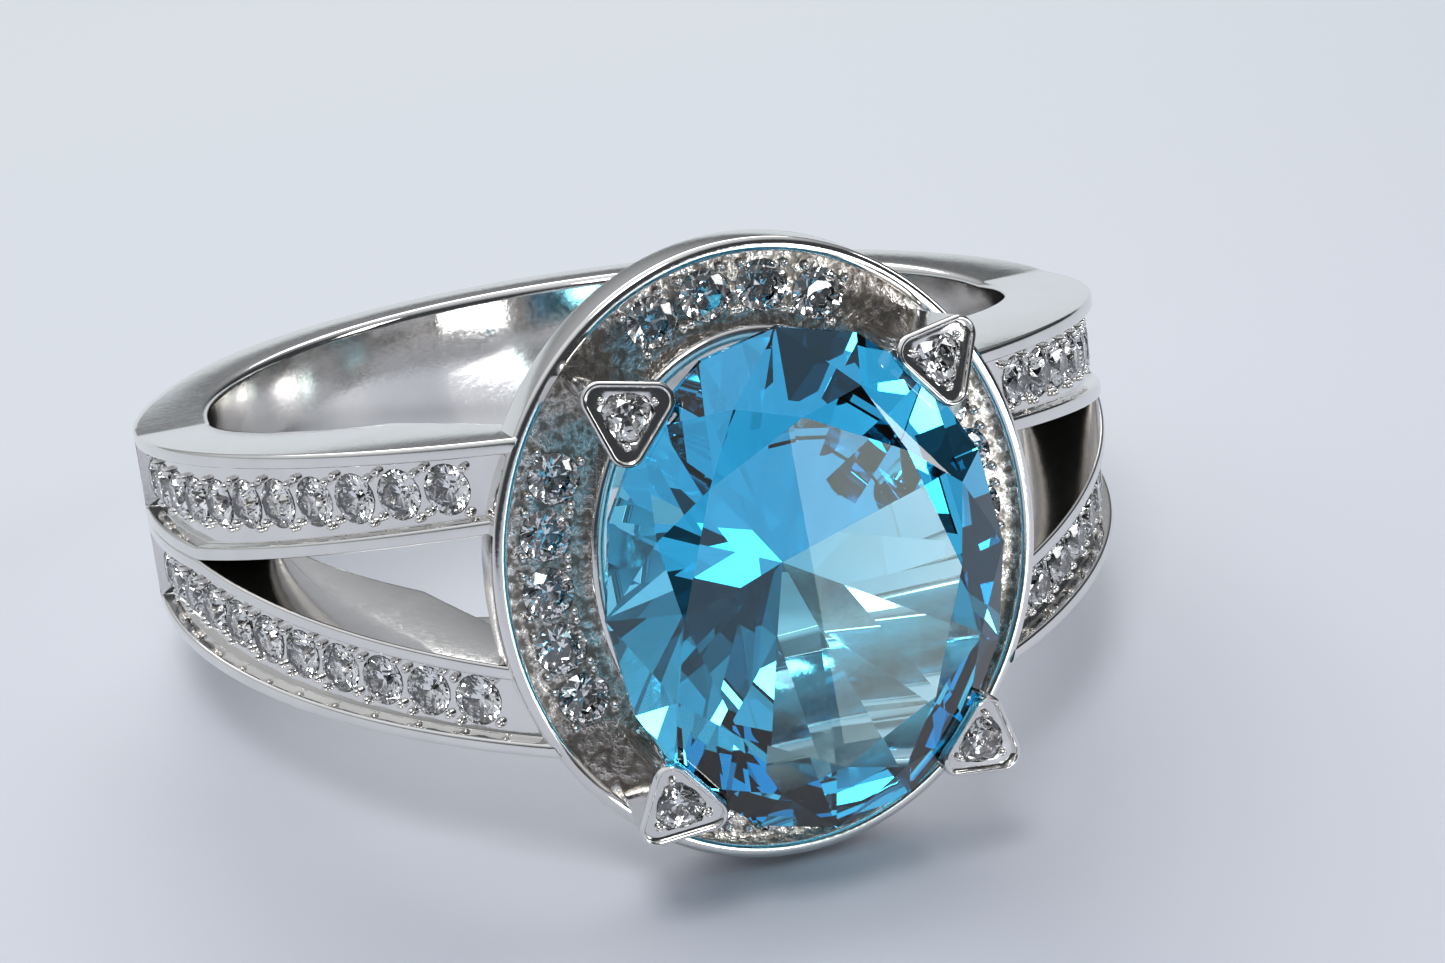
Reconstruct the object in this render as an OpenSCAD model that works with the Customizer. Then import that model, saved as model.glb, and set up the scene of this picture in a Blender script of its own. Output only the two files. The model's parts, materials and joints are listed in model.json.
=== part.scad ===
// Cocktail ring: an oval centre stone in a cluster halo, on a split shank with channel-set arms.
// Ring coordinates: x runs across the head, y along the finger, z out through the centre stone,
// with the middle of the finger hole at the origin. place() lays the finished ring on its side.

/* [Band] */
// Inside diameter, which is the finger size
finger_d = 18.15; // [15.5:0.05:20.5]
// Thickness of the band
band_t = 1.7; // [1.3:0.05:2.2]
// Width of the band along the finger
band_w = 4.1; // [3.4:0.1:5]
// Chamfer on the band's edges
band_chamfer = 0.15; // [0.05:0.05:0.3]

/* [Arms] */
// Distance from the middle of the ring to an arm's outer edge, where it meets the head
arm_spread = 3.2; // [2.9:0.05:3.9]
// Room between a stone and the rail on each side, where the arms meet the head
bed_margin = 0.11; // [0.06:0.01:0.3]
// Thickness of an arm where it meets the head
arm_end_t = 1.45; // [1.2:0.05:1.8]
// Angle from the head at which the two arms of a side part
split_angle = 70; // [62:1:76]
// Angle from the head at which the arms leave the finger circle
arm_lift_angle = 42; // [38:1:44]
// How far the arms run past the widest place of the ring
arm_tail = 0.9; // [0.8:0.1:1.6]
// Width of the polished rails
rail_w = 0.3; // [0.2:0.02:0.4]
// Depth of the bed between the rails
channel_d = 0.35; // [0.2:0.05:0.5]
// Gap between neighbouring arm stones
arm_stone_gap = 0.16; // [0.14:0.01:0.4]

/* [Head] */
// Height of the halo's rail above the finger hole's edge
head_rise = 2.715; // [2.5:0.05:4]
// How far the halo reaches past the centre stone's sides
halo_over_x = 1.58; // [1.45:0.02:2]
// How far the halo reaches past the centre stone's ends
halo_over_y = 1.32; // [1.25:0.02:1.8]
// Height of the halo's side wall
wall_h = 1.1; // [0.9:0.05:1.4]
// Depth of the tray below the halo's rail
tray_d = 0.35; // [0.2:0.05:0.5]
// Bare bed on each side of the halo's stones, at the head's sides
tray_margin_x = 0.295; // [0.2:0.005:0.4]
// Bare bed on each side of the halo's stones, at the head's ends
tray_margin_y = 0.18; // [0.14:0.01:0.3]
// Wall of the collar
collar_t = 0.3; // [0.2:0.05:0.4]
// Height of the collar's lip above the tray
collar_lip = 0.45; // [0.2:0.05:0.6]
// Gap between neighbouring halo stones
halo_stone_gap = 0.12; // [0.06:0.01:0.3]
// Bare bed between a prong's foot and the nearest halo stones
foot_margin = 0.5; // [0.3:0.05:0.9]

/* [Basket] */
// How far the gallery ring stands inside the halo's wall
gallery_inset = 0.5; // [0.3:0.05:0.7]
// Height of the gallery ring
gallery_h = 0.7; // [0.5:0.05:0.9]
// Height of the groove between the gallery ring and the halo
groove_h = 0.25; // [0.15:0.05:0.4]
// Wall of the gallery ring
gallery_t = 0.8; // [0.6:0.05:1]
// Width of the two bridges under the head
bridge_w = 1.3; // [1:0.1:1.5]

/* [Small stones] */
// Diameter of the halo's and the arms' stones
melee_d = 1.04; // [0.9:0.01:1.1]
// Diameter of the stones in the prong heads
prong_stone_d = 1; // [0.85:0.01:1.1]
// Gap round a stone in its seat
seat_clearance = 0.01; // [0.005:0.005:0.03]
// Diameter of the hole drilled under each stone
azure_d = 0.5; // [0.3:0.05:0.6]
// Diameter of the grains that hold the stones
grain_d = 0.2; // [0.14:0.02:0.24]
// Height of the grains above the bed
grain_h = 0.14; // [0.08:0.02:0.2]

/* [Centre stone] */
// Length of the centre stone along the finger
stone_l = 10; // [9:0.1:11]
// Width of the centre stone
stone_w = 8; // [7.2:0.1:8.8]
// Height of the centre stone's girdle above the halo's rail
stone_lift = 2.31; // [2.1:0.05:3]
// Height of its crown
crown_h = 1.02; // [0.8:0.02:1.3]
// Thickness of its girdle
girdle_t = 0.16; // [0.1:0.02:0.3]
// Depth of its pavilion
pavilion_h = 3.45; // [3:0.05:3.9]
// Size of the table as a share of the stone
table_share = 0.69; // [0.6:0.01:0.75]

/* [Prongs] */
// Distance from the girdle out to the middle of a prong's stone
prong_out = 0.44; // [0.4:0.01:0.6]
// Height of a prong's stone above the girdle's middle
prong_rise = 0.3; // [0.25:0.01:0.5]
// Angle of a prong round the stone, from the ring's width towards its length
prong_angle = 46; // [42:1:50]
// Tilt of a prong's head outwards
prong_tilt = 13; // [8:1:28]
// Thickness of the straight edge round a prong's face
prong_edge_t = 0.3; // [0.15:0.05:0.5]
// Wall between a prong's stone and the nearest side of its head
prong_wall = 0.16; // [0.12:0.01:0.25]
// Radius of the rounded corners of a prong's head
prong_corner_r = 0.36; // [0.28:0.01:0.42]
// Width of the rim round the recess in a prong's face
prong_rim = 0.1; // [0.06:0.01:0.13]
// Depth of that recess
recess_d = 0.14; // [0.08:0.01:0.2]
// Size of a prong's foot as a share of its head
foot_share = 0.7; // [0.55:0.01:0.8]

/* [Hidden] */
$fn = 96;
finger_r = finger_d / 2;
band_r = finger_r + band_t;
head_h = finger_r + head_rise;
halo_rx = stone_w / 2 + halo_over_x;
halo_ry = stone_l / 2 + halo_over_y;
collar_rx = halo_rx - rail_w - melee_d - 2 * tray_margin_x;
collar_ry = halo_ry - rail_w - melee_d - 2 * tray_margin_y;
arm_w = melee_d + 2 * bed_margin + 2 * rail_w;
arm_stone_pitch = melee_d + arm_stone_gap;
halo_stone_pitch = melee_d + halo_stone_gap;
wall_foot = head_h - wall_h;
tray_top = head_h - tray_d;
gallery_top = wall_foot - groove_h;
gallery_foot = gallery_top - gallery_h;
girdle_z = head_h + stone_lift;
far = 3 * band_r;

// The outside of each arm is one arc: upright where it meets the band, and passing through
// the halo's wall arm_drop below the rail, arm_bury inside it.
arm_drop = 0.5;
arm_bury = 0.1;
arm_head_x = halo_rx - arm_bury;
arm_head_z = head_h - arm_drop;
arm_arc_r = (pow(arm_head_x - band_r, 2) + pow(arm_head_z, 2)) / (2 * (band_r - arm_head_x));
arm_arc_x = band_r - arm_arc_r;
head_angle = atan2(arm_head_x, arm_head_z);

// The girdle's point at the prong, and the direction straight out from it.
girdle_point = [stone_w / 2 * cos(prong_angle), stone_l / 2 * sin(prong_angle)];
out_angle = atan2(sin(prong_angle) / stone_l, cos(prong_angle) / stone_w);
prong_point = girdle_point + prong_out * [cos(out_angle), sin(out_angle)];
prong_z = girdle_z + prong_rise;

// How far the corner circles of a prong's head stand from its stone's axis, and half the width of
// its foot.
corner_out = 2 * (prong_stone_d / 2 + prong_wall - prong_corner_r);
foot_half_w = foot_share * (corner_out * cos(30) + prong_corner_r);

// The ring lies on the halo's lower edge and on the back of the band.
rest_rise = halo_ry - band_w / 2;
rest_run = wall_foot + band_r - band_chamfer;
tilt = atan2(rest_rise, rest_run);
lowest = -(band_w / 2) * cos(tilt) - (band_r - band_chamfer) * sin(tilt);
table_z = girdle_z + girdle_t / 2 + crown_h;
front = table_z * cos(tilt) + table_share * stone_l / 2 * sin(tilt);
back = band_r * cos(tilt) + (band_w / 2 - band_chamfer) * sin(tilt);

metal = "silver";
bed_metal = "darkgray";
white_stone = "white";
blue_stone = "lightskyblue";

// Lays the ring down as it rests, with its head towards -y and its box centred over the origin.
module place() {
    translate([0, (front - back) / 2, -lowest])
        rotate([90 - tilt, 0, 0])
            children();
}

// Turns the upper right quarter of the ring into the quarter with these signs.
module quarter(side, end) {
    mirror([side < 0 ? 1 : 0, 0, 0])
        mirror([0, end < 0 ? 1 : 0, 0])
            children();
}

// ---------- Small stones and their seats ----------

// Shares of a small stone's diameter: its depth, its girdle, its height over the girdle's middle
// and its table.
small_depth = 0.43;
small_girdle = 0.04;
small_height = 0.17;
small_table = 0.58;

// Outline of a small brilliant about its axis, with its girdle's middle at height 0.
function brilliant(d) = [
    [0, -small_depth * d],
    [d / 2, -small_girdle / 2 * d],
    [d / 2, small_girdle / 2 * d],
    [small_table * d / 2, small_height * d],
    [0, small_height * d]
];

module small_stone(d) {
    rotate_extrude()
        polygon(brilliant(d));
}

// The same outline with its clearance, straight up from the girdle.
function seat_outline(d) = [
    [0, -small_depth * d - seat_clearance],
    [d / 2 + seat_clearance, -small_girdle / 2 * d],
    [d / 2 + seat_clearance, small_height * d],
    [0, small_height * d]
];

// What a stone of this size takes out of the metal, with the hole under it.
module seat(d, depth) {
    rotate_extrude()
        polygon(seat_outline(d));
    translate([0, 0, -depth])
        cylinder(h = depth, d = azure_d);
}

// How far a grain's middle stands from the line midway to the next stone, and how far it stands
// inside the line along the stones' edges.
grain_off = 0.14;
grain_tuck = 0.07;

// Four grains round a stone of a row, rooted grain_h deep in a bed that is at height 0.
module grains(pitch) {
    for (sx = [-1, 1], sy = [-1, 1])
        translate([sx * (pitch / 2 - grain_off), sy * (melee_d / 2 - grain_tuck), -grain_h])
            cylinder(h = 2 * grain_h, d = grain_d);
}

// ---------- Band ----------

module shank_band() {
    half = band_w / 2;
    color(metal)
        intersection() {
            rotate([90, 0, 0])
                rotate_extrude()
                    polygon([
                        [finger_r, -half], [band_r - band_chamfer, -half],
                        [band_r, band_chamfer - half], [band_r, half - band_chamfer],
                        [band_r - band_chamfer, half], [finger_r, half]
                    ]);
            translate([-far, -far, -2 * far - arm_tail])
                cube([2 * far, 2 * far, 2 * far]);
        }
}

// ---------- Arms ----------

// Point [x, z] of the arms' outside at an angle from the head.
function arm_reach(a) = arm_arc_x * sin(a) + sqrt(pow(arm_arc_r, 2) - pow(arm_arc_x * cos(a), 2));
function arm_point(a) = arm_reach(a) * [sin(a), cos(a)];

// Plane y = p[0] + p[1] x + p[2] z on which y goes evenly from y1 at angle a1 to y2 at a2.
function edge_plane(a1, y1, a2, y2) =
    let (
        near = arm_point(a1),
        mid = arm_point((a1 + a2) / 2) - near,
        end = arm_point(a2) - near,
        rise = y2 - y1,
        det = end[0] * mid[1] - mid[0] * end[1],
        px = rise * (mid[1] - end[1] / 2) / det,
        pz = rise * (end[0] / 2 - mid[0]) / det
    )
    [y1 - px * near[0] - pz * near[1], px, pz];

outer_edge = edge_plane(90, band_w / 2, head_angle, arm_spread);
inner_edge = edge_plane(split_angle, 0, head_angle, arm_spread - arm_w);

// Everything above the plane p, moved along the finger by shift.
module above(p, shift = 0) {
    size = sqrt(1 + pow(p[1], 2) + pow(p[2], 2));
    translate([0, p[0] + shift, 0])
        rotate([asin(-p[2] / size), 0, atan2(p[1], 1)])
            translate([-far, 0, -far])
                cube([2 * far, far, 2 * far]);
}

// A profile in x and z, stretched along the finger between y1 and y2.
module across(y1, y2) {
    translate([0, y2, 0])
        rotate([90, 0, 0])
            linear_extrude(y2 - y1)
                children();
}

lift_point = finger_r * [sin(arm_lift_angle), cos(arm_lift_angle)];
end_normal = asin((arm_head_x - arm_arc_x) / arm_arc_r);
end_point = arm_point(head_angle) - arm_end_t * [sin(end_normal), cos(end_normal)];
lift_step = end_point - lift_point;

// The part of the x z plane between the two sides' lifted inner faces.
module inside_lift() {
    top = end_point + 2 * lift_step;
    polygon([[0, 0], lift_point, top, [-top[0], top[1]], [-lift_point[0], lift_point[1]]]);
}

module oval(rx, ry) {
    polygon([for (i = [0:$fn - 1]) [rx * cos(360 * i / $fn), ry * sin(360 * i / $fn)]]);
}

// The head's outline, which the arms stop against.
module head_envelope() {
    translate([0, 0, wall_foot])
        linear_extrude(far)
            oval(halo_rx, halo_ry);
    linear_extrude(wall_foot + 0.1)
        oval(halo_rx - gallery_inset, halo_ry - gallery_inset);
}

// Turns of the arm stones round the centre of the arms' outer arc. The first one stands a rail's
// width from the arm's end, and as many follow as find room, with their grains, before the halo.
bed_r = arm_arc_r - channel_d;
grain_reach = arm_stone_pitch / 2 - grain_off + grain_d / 2;
grain_side = arm_spread - arm_w / 2 - melee_d / 2 + grain_tuck - grain_d / 2;
arm_wall_x = halo_rx * sqrt(1 - pow(grain_side / halo_ry, 2));
arm_wall_turn = asin((arm_wall_x - arm_arc_x) / bed_r);
arm_stone_step = arm_stone_pitch / arm_arc_r * 180 / PI;
first_arm_turn = 90 + asin((arm_tail - rail_w - melee_d / 2) / arm_arc_r);
arm_stone_room = first_arm_turn - arm_wall_turn - grain_reach / bed_r * 180 / PI;
arm_turns = [for (i = [0:floor(arm_stone_room / arm_stone_step)]) first_arm_turn - i * arm_stone_step];

// Middle of the bed between an arm's two edges, at a turn round the arms' outer arc.
function edge_y(p, turn) =
    p[0] + p[1] * (arm_arc_x + arm_arc_r * sin(turn)) + p[2] * arm_arc_r * cos(turn);
function bed_y(turn) = (edge_y(outer_edge, turn) + max(0, edge_y(inner_edge, turn))) / 2;

// Puts its children on each stone's place in the upper right arm, with z out of the bed.
module at_arm_stones() {
    for (turn = arm_turns)
        translate([arm_arc_x, bed_y(turn), 0])
            rotate([0, turn, 0])
                translate([0, 0, bed_r])
                    children();
}

module arm_blank() {
    difference() {
        across(0, arm_spread + 1)
            difference() {
                intersection() {
                    translate([arm_arc_x, 0])
                        circle(arm_arc_r);
                    translate([0, -arm_tail])
                        square(far);
                }
                circle(finger_r);
                inside_lift();
            }
        above(outer_edge);
        difference() {
            translate([0, -1, 0])
                cube([far, far, far]);
            above(inner_edge);
        }
        head_envelope();
    }
}

// The bed's hollow between the rails.
module channel() {
    difference() {
        across(rail_w, arm_spread)
            difference() {
                translate([0, rail_w - arm_tail])
                    square(far);
                translate([arm_arc_x, 0])
                    circle(bed_r);
            }
        above(outer_edge, -rail_w);
        difference() {
            translate([0, -1, 0])
                cube([far, far, far]);
            above(inner_edge, rail_w);
        }
    }
}

module arm(side, end) {
    color(metal)
        quarter(side, end)
            difference() {
                union() {
                    difference() {
                        arm_blank();
                        channel();
                    }
                    at_arm_stones()
                        grains(arm_stone_pitch);
                }
                at_arm_stones()
                    seat(melee_d, 2 * band_t);
            }
}

module arm_stones(side, end) {
    color(white_stone)
        quarter(side, end)
            at_arm_stones()
                small_stone(melee_d);
}

// ---------- Basket under the head ----------

// Each bridge has the finger circle below it and a flat top that carries the gallery ring.
module bridge(end) {
    inner_y = arm_spread - arm_w;
    color(metal)
        quarter(1, end)
            across(inner_y, inner_y + bridge_w)
                difference() {
                    intersection() {
                        inside_lift();
                        translate([-far / 2, 0])
                            square([far, gallery_foot]);
                    }
                    circle(finger_r);
                }
}

module oval_ring(rx, ry, wall, foot, height) {
    translate([0, 0, foot])
        linear_extrude(height)
            difference() {
                oval(rx, ry);
                oval(rx - wall, ry - wall);
            }
}

module gallery_ring() {
    rx = halo_rx - gallery_inset;
    ry = halo_ry - gallery_inset;
    neck = gallery_t / 3;
    color(metal)
        union() {
            oval_ring(rx, ry, gallery_t, gallery_foot, gallery_h);
            oval_ring(rx - neck, ry - neck, gallery_t - neck, gallery_top, groove_h);
        }
}

// ---------- Halo ----------

module halo_rim() {
    color(metal)
        oval_ring(halo_rx, halo_ry, rail_w, wall_foot, wall_h);
}

module halo_collar() {
    color(metal)
        oval_ring(collar_rx, collar_ry, collar_t, wall_foot, wall_h - tray_d + collar_lip);
}

// The halo's stones stand midway between the collar and the rim.
row_rx = (halo_rx - rail_w + collar_rx) / 2;
row_ry = (halo_ry - rail_w + collar_ry) / 2;
side_step = halo_stone_pitch / row_ry * 180 / PI;
end_step = halo_stone_pitch / row_rx * 180 / PI;

// The turn of the row at which a prong stands, the turn that its foot keeps free on each side, and
// the gaps between stones that fit at a side and at an end.
prong_turn = atan2(prong_point[1] / row_ry, prong_point[0] / row_rx);
row_reach = sqrt(pow(row_rx * sin(prong_turn), 2) + pow(row_ry * cos(prong_turn), 2));
foot_turn = (foot_half_w + foot_margin + melee_d / 2) / row_reach * 180 / PI;
side_gaps = floor(2 * (prong_turn - foot_turn) / side_step);
end_gaps = floor(2 * (90 - prong_turn - foot_turn) / end_step);
side_turns = [for (i = [0:side_gaps]) (i - side_gaps / 2) * side_step];
end_turns = [for (i = [0:end_gaps]) 90 + (i - end_gaps / 2) * end_step];

// Puts its children on the row's places at these turns, with x along the row and y outwards.
module at_row(turns) {
    for (t = turns)
        translate([row_rx * cos(t), row_ry * sin(t), tray_top])
            rotate([0, 0, atan2(row_rx * sin(t), row_ry * cos(t)) - 90])
                children();
}

// All four stretches of the row.
module at_halo_stones() {
    for (side = [-1, 1])
        quarter(side, 1)
            at_row(side_turns)
                children();
    for (end = [-1, 1])
        quarter(1, end)
            at_row(end_turns)
                children();
}

module halo_tray() {
    thick = wall_h - tray_d;
    bed_rx = halo_rx - rail_w;
    bed_ry = halo_ry - rail_w;
    color(bed_metal)
        difference() {
            union() {
                translate([0, 0, wall_foot])
                    linear_extrude(thick)
                        difference() {
                            oval(bed_rx, bed_ry);
                            oval(collar_rx, collar_ry);
                        }
                at_halo_stones()
                    grains(halo_stone_pitch);
            }
            at_halo_stones()
                seat(melee_d, 2 * thick);
        }
}

module halo_stones_side(side) {
    color(white_stone)
        quarter(side, 1)
            at_row(side_turns)
                small_stone(melee_d);
}

module halo_stones_end(end) {
    color(white_stone)
        quarter(1, end)
            at_row(end_turns)
                small_stone(melee_d);
}

// ---------- Centre stone ----------

// Heights of the crown's middle corners and the pavilion's, chosen so that the main facets are flat.
crown_mid = 0.82;
pavilion_mid = 0.28;
crown_mid_h = crown_h * (1 - crown_mid * cos(22.5)) / (1 - table_share);
pavilion_mid_h = pavilion_h * (1 - pavilion_mid * cos(22.5));

// Corners on one level: share of the full size, height from the girdle, count and first angle.
function level(share, z, count, first) = [
    for (i = [0:count - 1])
        [
            share * stone_w / 2 * cos(first + 360 * i / count),
            share * stone_l / 2 * sin(first + 360 * i / count),
            z
        ]
];

stone_points = concat(
    level(table_share, girdle_t / 2 + crown_h, 8, 0),
    level(crown_mid, girdle_t / 2 + crown_mid_h, 8, 22.5),
    level(1, girdle_t / 2, 16, 0),
    level(1, -girdle_t / 2, 16, 0),
    level(pavilion_mid, -girdle_t / 2 - pavilion_mid_h, 8, 22.5),
    [[0, 0, -girdle_t / 2 - pavilion_h]]
);

// Numbers of the corners on each level.
function table_at(i) = i % 8;
function crown_at(i) = 8 + (i + 8) % 8;
function top_at(i) = 16 + (i + 16) % 16;
function low_at(i) = 32 + (i + 16) % 16;
function pavilion_at(i) = 48 + (i + 8) % 8;
culet = 56;

stone_faces = concat(
    [[for (i = [7:-1:0]) i]],
    [for (i = [0:7]) [table_at(i), table_at(i + 1), crown_at(i)]],
    [for (i = [0:7]) [table_at(i), crown_at(i), top_at(2 * i)]],
    [for (i = [0:7]) [table_at(i), top_at(2 * i), crown_at(i - 1)]],
    [for (i = [0:7]) [crown_at(i), top_at(2 * i + 1), top_at(2 * i)]],
    [for (i = [0:7]) [crown_at(i), top_at(2 * i + 2), top_at(2 * i + 1)]],
    [for (i = [0:15]) [top_at(i), top_at(i + 1), low_at(i + 1)]],
    [for (i = [0:15]) [top_at(i), low_at(i + 1), low_at(i)]],
    [for (i = [0:7]) [pavilion_at(i), low_at(2 * i), low_at(2 * i + 1)]],
    [for (i = [0:7]) [pavilion_at(i), low_at(2 * i + 1), low_at(2 * i + 2)]],
    [for (i = [0:7]) [culet, low_at(2 * i), pavilion_at(i)]],
    [for (i = [0:7]) [culet, pavilion_at(i - 1), low_at(2 * i)]]
);

module stone_body() {
    translate([0, 0, girdle_z])
        polyhedron(points = stone_points, faces = stone_faces);
}

module centre_stone() {
    color(blue_stone)
        stone_body();
}

// ---------- Prongs ----------

// A prong's head is a rounded triangle round its stone: flat side in, one corner out.
corner_angles = [90, 210, 330];

module prong_outline(share, inset = 0) {
    hull()
        for (a = corner_angles)
            translate(share * corner_out * [cos(a), sin(a)])
                circle(share * prong_corner_r - inset, $fn = 24);
}

// Puts its children at the upper right prong's stone, with y outwards and z out of the head's face.
module at_prong() {
    translate([prong_point[0], prong_point[1], prong_z])
        rotate([0, 0, out_angle - 90])
            rotate([-prong_tilt, 0, 0])
                children();
}

// How far a prong's stone is set below the recess, how far its foot stands inwards of the stone
// and how thick the foot's straight part is.
prong_stone_sink = 0.06;
foot_in = 0.1;
foot_t = 0.1;

// The recess in the face and the seat in its floor.
module prong_seat() {
    translate([0, 0, -recess_d])
        linear_extrude(2 * recess_d)
            prong_outline(1, prong_rim);
    translate([0, 0, -recess_d - prong_stone_sink])
        rotate_extrude()
            polygon(seat_outline(prong_stone_d));
}

// A grain in each corner of the recess.
module prong_grains() {
    for (a = corner_angles)
        translate([corner_out * cos(a), corner_out * sin(a), -recess_d - grain_h])
            cylinder(h = 2 * grain_h, d = grain_d);
}

module prong_blank() {
    foot = prong_point - foot_in * [cos(out_angle), sin(out_angle)];
    hull() {
        at_prong()
            translate([0, 0, -prong_edge_t])
                linear_extrude(prong_edge_t)
                    prong_outline(1);
        translate([foot[0], foot[1], tray_top])
            rotate([0, 0, out_angle - 90])
                linear_extrude(foot_t)
                    prong_outline(foot_share);
    }
}

module prong(side, end) {
    color(metal)
        quarter(side, end)
            difference() {
                union() {
                    difference() {
                        prong_blank();
                        at_prong()
                            prong_seat();
                    }
                    at_prong()
                        prong_grains();
                }
                stone_body();
            }
}

module prong_stone(side, end) {
    color(white_stone)
        quarter(side, end)
            at_prong()
                translate([0, 0, -recess_d - prong_stone_sink])
                    small_stone(prong_stone_d);
}

// ---------- The ring ----------

place() shank_band();
place() arm(1, 1);  // arm_upper_right
place() arm(1, -1);  // arm_lower_right
place() arm(-1, 1);  // arm_upper_left
place() arm(-1, -1);  // arm_lower_left
place() arm_stones(1, 1);  // arm_stones_upper_right
place() arm_stones(1, -1);  // arm_stones_lower_right
place() arm_stones(-1, 1);  // arm_stones_upper_left
place() arm_stones(-1, -1);  // arm_stones_lower_left
place() bridge(1);  // bridge_upper
place() bridge(-1);  // bridge_lower
place() gallery_ring();
place() halo_rim();
place() halo_tray();
place() halo_collar();
place() halo_stones_side(1);  // halo_stones_right
place() halo_stones_side(-1);  // halo_stones_left
place() halo_stones_end(1);  // halo_stones_upper
place() halo_stones_end(-1);  // halo_stones_lower
place() prong(1, 1);  // prong_upper_right
place() prong(1, -1);  // prong_lower_right
place() prong(-1, 1);  // prong_upper_left
place() prong(-1, -1);  // prong_lower_left
place() prong_stone(1, 1);  // prong_stone_upper_right
place() prong_stone(1, -1);  // prong_stone_lower_right
place() prong_stone(-1, 1);  // prong_stone_upper_left
place() prong_stone(-1, -1);  // prong_stone_lower_left
place() centre_stone();
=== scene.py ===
"""Cocktail ring: polished split shank, stone-set arms, halo and prongs, pale blue oval stone.

The looks are built in ring coordinates, in millimetres, as the CAD part is: x runs across the
finger, y along it, z out through the centre stone, from the middle of the finger hole. RING turns
them into the frame's metres.
"""

import json
import math
import random

import bmesh
import bpy
import numpy as np
from mathutils import Matrix, Vector


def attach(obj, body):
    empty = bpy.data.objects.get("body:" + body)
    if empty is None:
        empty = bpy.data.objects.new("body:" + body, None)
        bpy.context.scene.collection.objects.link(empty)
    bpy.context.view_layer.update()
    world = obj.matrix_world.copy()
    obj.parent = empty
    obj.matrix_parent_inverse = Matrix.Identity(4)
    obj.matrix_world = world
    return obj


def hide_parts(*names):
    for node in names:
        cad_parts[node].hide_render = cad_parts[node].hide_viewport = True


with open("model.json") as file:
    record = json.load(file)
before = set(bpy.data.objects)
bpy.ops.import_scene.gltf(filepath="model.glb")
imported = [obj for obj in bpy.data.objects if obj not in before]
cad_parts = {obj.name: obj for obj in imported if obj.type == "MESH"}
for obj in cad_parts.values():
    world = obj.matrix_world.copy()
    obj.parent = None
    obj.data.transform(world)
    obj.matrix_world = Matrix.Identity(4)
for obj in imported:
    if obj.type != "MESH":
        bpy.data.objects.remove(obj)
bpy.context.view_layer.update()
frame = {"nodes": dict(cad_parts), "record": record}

MM = 0.001


BORE = next(m for m in frame["record"]["mounts"] if m["name"] == "finger_bore")


def ring_matrix():
    """Ring millimetres to frame metres, from the finger bore's place and axis."""
    along = Vector(BORE["axis"]).normalized()
    across = Vector((1, 0, 0))
    out = across.cross(along)
    turn = Matrix((across, along, out)).transposed().to_4x4()
    return Matrix.Translation(BORE["pos_m"]) @ turn @ Matrix.Scale(MM, 4)


RING = ring_matrix()

# ---------- Sizes, as in the CAD part (mm) ----------

FINGER_R = BORE["dims"]["r_mm"]
BAND_T = 1.7
BAND_HALF = 2.05
RAIL_W = 0.3
MELEE_D = 1.04
PRONG_STONE_D = 1.0
AZURE_D = 0.5
GRAIN_D = 0.2
GRAIN_OFF = 0.14
GRAIN_TUCK = 0.07
GRAIN_RISE = 0.03
GRAIN_HALF_H = 0.13
SEAT_GAP = 0.01
PAVILION_SHARE = 0.43
ARM_SPREAD = 3.2
ARM_W = MELEE_D + 2 * 0.11 + 2 * RAIL_W
ARM_END_T = 1.45
SPLIT_ANGLE = 70
LIFT_ANGLE = 42
ARM_TAIL = 0.9
CHANNEL_D = 0.35
ARM_STONES = 11
ARM_PITCH = MELEE_D + 0.16
STONE_L, STONE_W = 10, 8
STONE_LIFT = 2.31
CROWN_H = 1.02
GIRDLE_T = 0.16
PAVILION_H = 3.45
TABLE_SHARE = 0.69
HEAD_H = FINGER_R + 2.715
HALO_RX, HALO_RY = STONE_W / 2 + 1.58, STONE_L / 2 + 1.32
WALL_H = 1.1
TRAY_D = 0.35
COLLAR_RX = HALO_RX - RAIL_W - MELEE_D - 2 * 0.295
COLLAR_RY = HALO_RY - RAIL_W - MELEE_D - 2 * 0.18
COLLAR_T = 0.3
COLLAR_LIP = 0.45
HALO_PITCH = MELEE_D + 0.12
GALLERY_INSET = 0.5
GALLERY_H = 0.7
GROOVE_H = 0.25
GALLERY_T = 0.8
BRIDGE_W = 1.3
PRONG_OUT = 0.44
PRONG_RISE = 0.3
PRONG_ANGLE = 46
PRONG_TILT = 13
PRONG_EDGE_T = 0.3
PRONG_WALL = 0.16
CORNER_R = 0.36
FOOT_SHARE = 0.7
FOOT_IN = 0.1
RECESS_D = 0.14
PRONG_RIM = 0.1
PRONG_SINK = RECESS_D + 0.06

BAND_R = FINGER_R + BAND_T
WALL_FOOT = HEAD_H - WALL_H
TRAY_TOP = HEAD_H - TRAY_D
GALLERY_TOP = WALL_FOOT - GROOVE_H
GALLERY_FOOT = GALLERY_TOP - GALLERY_H
GIRDLE_Z = HEAD_H + STONE_LIFT
CORNER_OUT = 2 * (PRONG_STONE_D / 2 + PRONG_WALL - CORNER_R)
ARM_HEAD = np.array([HALO_RX - 0.1, HEAD_H - 0.5])
ARC_R = ((ARM_HEAD[0] - BAND_R) ** 2 + ARM_HEAD[1] ** 2) / (2 * (BAND_R - ARM_HEAD[0]))
ARC_X = BAND_R - ARC_R

# ---------- Mesh tools ----------


def unit(v):
    return v / np.linalg.norm(v)


def turn(degrees):
    """Sine and cosine, which are x and z of a direction at that angle from the head."""
    return np.array([math.sin(math.radians(degrees)), math.cos(math.radians(degrees))])


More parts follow.
